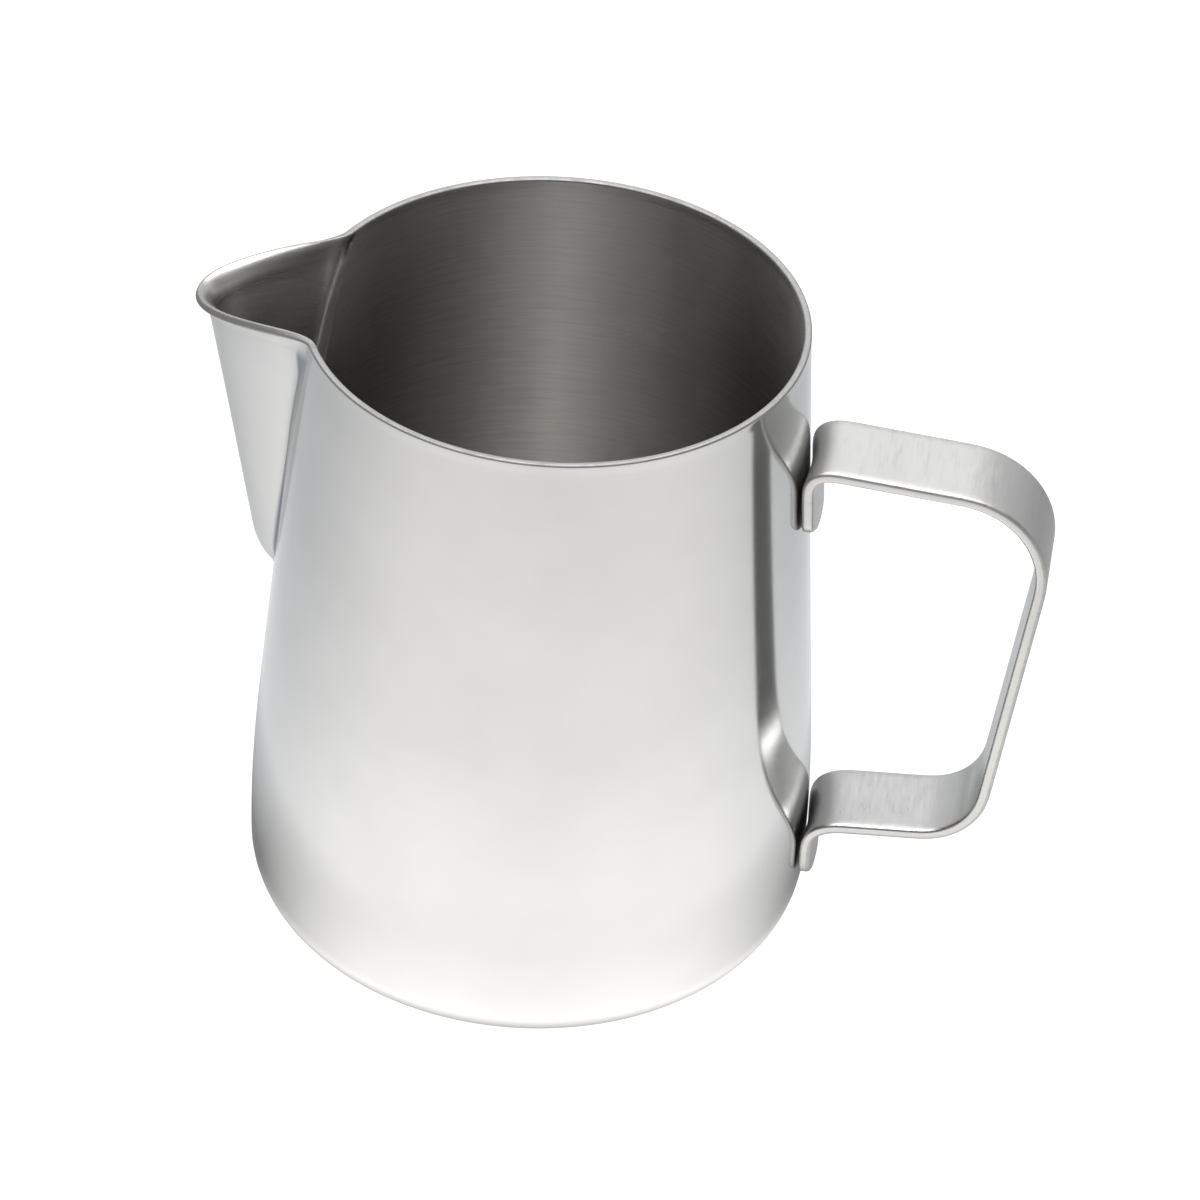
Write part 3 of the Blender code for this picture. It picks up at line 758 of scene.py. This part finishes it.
def make_floor():
    """Pale floor that glows: a painted pool of light around the pitcher, dimmer and a little cooler behind
    it.
    """
    mesh = bpy.data.meshes.new("floor")
    corners = [(x * FLOOR_HALF_SIZE, y * FLOOR_HALF_SIZE, FLOOR_HEIGHT)
               for x, y in ((-1, -1), (1, -1), (1, 1), (-1, 1))]
    mesh.from_pydata(corners, [], [(0, 1, 2, 3)])
    floor = bpy.data.objects.new("floor", mesh)
    bpy.context.scene.collection.objects.link(floor)
    material = bpy.data.materials.new("pale floor")
    material.use_nodes = True
    nodes = Nodes(material.node_tree)
    shader = material.node_tree.nodes["Principled BSDF"]
    shader.inputs["Base Color"].default_value = FLOOR_COLOUR
    shader.inputs["Roughness"].default_value = 1.0
    shader.inputs["Specular IOR Level"].default_value = 0.0
    place = nodes.add("ShaderNodeTexCoord").outputs["Object"]
    length = nodes.add("ShaderNodeVectorMath", operation="LENGTH")
    nodes.join(place, length.inputs[0])
    distance = length.outputs["Value"]
    pool = FLOOR_POOL[0][1]
    for (near, near_glow), (far, far_glow) in zip(FLOOR_POOL, FLOOR_POOL[1:]):
        step = nodes.spread(distance, 0.0, far_glow - near_glow, near, far)
        pool = nodes.maths("ADD", pool, step)
    split = nodes.add("ShaderNodeSeparateXYZ")
    nodes.join(place, split.inputs["Vector"])
    turned = nodes.maths("SUBTRACT", nodes.maths("MULTIPLY", split.outputs["Y"], math.cos(FLOOR_TURN)),
                         nodes.maths("MULTIPLY", split.outputs["X"], math.sin(FLOOR_TURN)))
    bearing = nodes.maths("DIVIDE", turned, nodes.maths("MAXIMUM", distance, SMALLEST_DISTANCE))
    behind = nodes.spread(bearing, 0.0, 1.0, *FLOOR_BEHIND, "SMOOTHSTEP")
    beside = nodes.spread(bearing, 0.0, 1.0, *FLOOR_BESIDE, "SMOOTHSTEP")
    nodes.join(nodes.blend_colour(behind, FLOOR_FRONT_GLOW, FLOOR_BACK_GLOW), shader.inputs["Emission Color"])
    near_loss = nodes.spread(distance, FLOOR_LOSS_NEAR, 0.0, *FLOOR_NEAR_TO_FAR)
    far_loss = nodes.spread(distance, 0.0, FLOOR_LOSS_FAR, *FLOOR_NEAR_TO_FAR)
    lost_near = nodes.maths("MULTIPLY", beside, near_loss)
    lost_far = nodes.maths("MULTIPLY", behind, far_loss)
    left = nodes.maths("SUBTRACT", nodes.maths("SUBTRACT", 1.0, lost_near), lost_far)
    dimmed = nodes.maths("MULTIPLY", pool, left)
    path = nodes.add("ShaderNodeLightPath")
    shown = nodes.maths("MULTIPLY", path.outputs["Is Camera Ray"], FLOOR_SHOWN)
    nodes.join(nodes.maths("MAXIMUM", dimmed, shown), shader.inputs["Emission Strength"])
    mesh.materials.append(material)


# Overhead softboxes as name, place, size and power. Both look straight down.
SOFTBOXES = (("wide overhead", (-0.02, 0.05, 0.75), (0.66, 0.9), 8.6),
             ("narrow overhead", (0.0, 0.05, 0.74), (0.22, 0.9), 1.9))


def make_softbox(name, place, size, power):
    light = bpy.data.lights.new(name, "AREA")
    light.shape = "RECTANGLE"
    light.size, light.size_y = size
    light.energy = power
    lamp = bpy.data.objects.new(name, light)
    bpy.context.scene.collection.objects.link(lamp)
    lamp.location = place
    lamp.rotation_mode = "QUATERNION"
    lamp.rotation_quaternion = Vector((0.0, 0.0, -1.0)).to_track_quat("-Z", "Y")


WALL_DARK = 0.03
WALL_BACK = 1.02
WALL_SIDE = 0.75
WALL_FRONT = 0.30
WALL_TOP = 0.10
WALL_COLOUR = (0.975, 0.99, 1.0, 1.0)
# Where each fades, by a direction's part along Y for the back, X for the sides and Z for the other two
BACK_FADE = (0.0, 0.65)
SIDE_FADE = (0.45, 0.95)
SIDE_TOP_FADE = (0.15, 0.60)
TOP_FADE = (0.1, 0.9)


def make_world():
    """Studio around the floor: bright behind the pitcher, lit low at the sides, dark in front and above."""
    world = bpy.data.worlds.new("studio")
    world.use_nodes = True
    bpy.context.scene.world = world
    nodes = Nodes(world.node_tree)
    background = world.node_tree.nodes["Background"]
    place = nodes.add("ShaderNodeTexCoord")
    split = nodes.add("ShaderNodeSeparateXYZ")
    nodes.join(place.outputs["Generated"], split.inputs["Vector"])
    sideways = nodes.maths("ABSOLUTE", split.outputs["X"], 0.0)
    back = nodes.spread(split.outputs["Y"], WALL_DARK, WALL_BACK, *BACK_FADE, "SMOOTHSTEP")
    low = nodes.spread(split.outputs["Z"], 1.0, 0.0, *SIDE_TOP_FADE, "SMOOTHSTEP")
    side = nodes.maths("MULTIPLY", nodes.spread(sideways, 0.0, WALL_SIDE, *SIDE_FADE, "SMOOTHSTEP"), low)
    front = nodes.spread(split.outputs["Z"], WALL_FRONT, WALL_TOP, *TOP_FADE, "SMOOTHSTEP")
    level = nodes.maths("MAXIMUM", nodes.maths("MAXIMUM", back, side), front)
    path = nodes.add("ShaderNodeLightPath")
    background.inputs["Color"].default_value = WALL_COLOUR
    nodes.join(nodes.maths("MAXIMUM", level, path.outputs["Is Camera Ray"]), background.inputs["Strength"])


def make_camera():
    """Camera at its distance and angle from a point beside the axis, turned a little about its own line."""
    camera = bpy.data.objects.new("camera", bpy.data.cameras.new("camera"))
    bpy.context.scene.collection.objects.link(camera)
    back = Vector((math.sin(CAMERA_AZIMUTH) * math.cos(CAMERA_ELEVATION),
                   -math.cos(CAMERA_AZIMUTH) * math.cos(CAMERA_ELEVATION), math.sin(CAMERA_ELEVATION)))
    right = Vector((0.0, 0.0, 1.0)).cross(back).normalized()
    up = back.cross(right)
    turned_right = math.cos(CAMERA_ROLL) * right + math.sin(CAMERA_ROLL) * up
    turned_up = math.cos(CAMERA_ROLL) * up - math.sin(CAMERA_ROLL) * right
    matrix = Matrix((turned_right, turned_up, back)).transposed().to_4x4()
    matrix.translation = right * AIM_RIGHT + Vector((0.0, 0.0, AIM_HEIGHT)) + back * CAMERA_DISTANCE
    camera.matrix_world = matrix
    camera.data.lens = CAMERA_LENS
    camera.data.sensor_width = CAMERA_SENSOR
    camera.data.clip_start = CAMERA_NEAR
    camera.data.clip_end = CAMERA_FAR
    bpy.context.scene.camera = camera


# ---------------------------------------------------------------- the scene

def place(piece, node, slot):
    """Puts a fine piece in the place of its CAD node."""
    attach(piece, "root")
    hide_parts(node)


def main():
    materials = make_materials()
    body = make_body(materials["outside"], materials["inside"], materials["edge"])
    place(body, "body_shell", "polished_body")
    spout = make_spout(materials["spout outside"], materials["spout inside"], materials["edge"])
    place(spout, "spout", "polished_spout")
    place(make_weld(materials["spout outside"], materials["weld"]), "spout_weld_seam", "dressed_weld")
    place(make_strap(materials["strap inner"], materials["strap outer"]), "handle_strap", "satin_strap")
    for name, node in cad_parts.items():
        if "_weld_" in name and name != "spout_weld_seam":
            node.data.materials.clear()
            node.data.materials.append(materials["nugget"])
    make_floor()
    make_world()
    for softbox in SOFTBOXES:
        make_softbox(*softbox)
    make_camera()
    bpy.context.scene.view_settings.view_transform = "Standard"


main()
